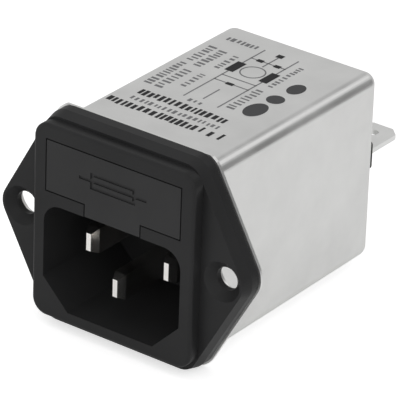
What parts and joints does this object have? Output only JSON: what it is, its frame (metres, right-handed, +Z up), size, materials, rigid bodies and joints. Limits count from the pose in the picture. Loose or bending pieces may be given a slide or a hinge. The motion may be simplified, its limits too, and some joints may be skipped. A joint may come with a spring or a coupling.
{
  "type": "emi line filter",
  "caption": "Panel-mount mains interference filter: drawn metal can, black front with a plug inlet, a sliding fuse drawer and countersunk ears, and blade terminals at the back.",
  "frame": {"origin": "midway between the two mounting holes, in the rear face of the can's collar, which bears on the panel", "axes": "+X right seen from the front, +Y back into the can, +Z up; the inlet faces -Y"},
  "size_m": [0.0446, 0.0567, 0.0338],
  "materials": {
    "black_moulding": "satin moulded thermoplastic",
    "drawer_plastic": "satin moulded thermoplastic",
    "can_steel": "tin plated, satin",
    "plated_brass": "nickel plated, polished",
    "tinned_brass": "tin plated, satin",
    "contact_bronze": "rolled spring bronze",
    "fuse_tube": "clear",
    "fuse_wire": "bare wire",
    "board_laminate": "glass-fibre laminate",
    "ferrite": "coated ferrite",
    "divider_plastic": "natural polyamide",
    "enamelled_copper": "enamelled copper wire",
    "capacitor_box": "moulded box",
    "disc_coating": "dipped lacquer",
    "resistor_coating": "lacquered",
    "tinned_wire": "tinned wire",
    "brown_insulation": "extruded insulation",
    "blue_insulation": "extruded insulation",
    "copper_strap": "bare copper",
    "rivet_steel": "zinc plated"
  },
  "bodies": {
    "housing": {"front_moulding": "black_moulding", "shield_can": "can_steel", "line_fuse_contact": "contact_bronze", "load_fuse_contact": "contact_bronze", "line_pin": "plated_brass", "neutral_pin": "plated_brass", "earth_pin": "plated_brass", "circuit_board": "board_laminate", "choke_core": "ferrite", "choke_divider": "divider_plastic", "line_winding": "enamelled_copper", "neutral_winding": "enamelled_copper", "x_capacitor": "capacitor_box", "x_capacitor_leads": "tinned_wire", "y_capacitors": "disc_coating", "y_capacitor_leads": "tinned_wire", "bleed_resistor": "resistor_coating", "resistor_leads": "tinned_wire", "line_wire": "brown_insulation", "neutral_wire": "blue_insulation", "earth_strap": "copper_strap", "rear_insulator": "black_moulding", "line_blade": "tinned_brass", "neutral_blade": "tinned_brass", "earth_blade": "tinned_brass", "earth_rivet": "rivet_steel"},
    "drawer": {"fuse_drawer": "drawer_plastic", "fuse_glass": "fuse_tube", "fuse_caps": "plated_brass", "fuse_element": "fuse_wire", "spare_glass": "fuse_tube", "spare_caps": "plated_brass", "spare_element": "fuse_wire"}
  },
  "joints": [
    {"name": "fuse_drawer_slide", "type": "slide", "parent": "housing", "child": "drawer", "axis": [0, -1, 0], "range_m": [0, 0.0135]}
  ]
}
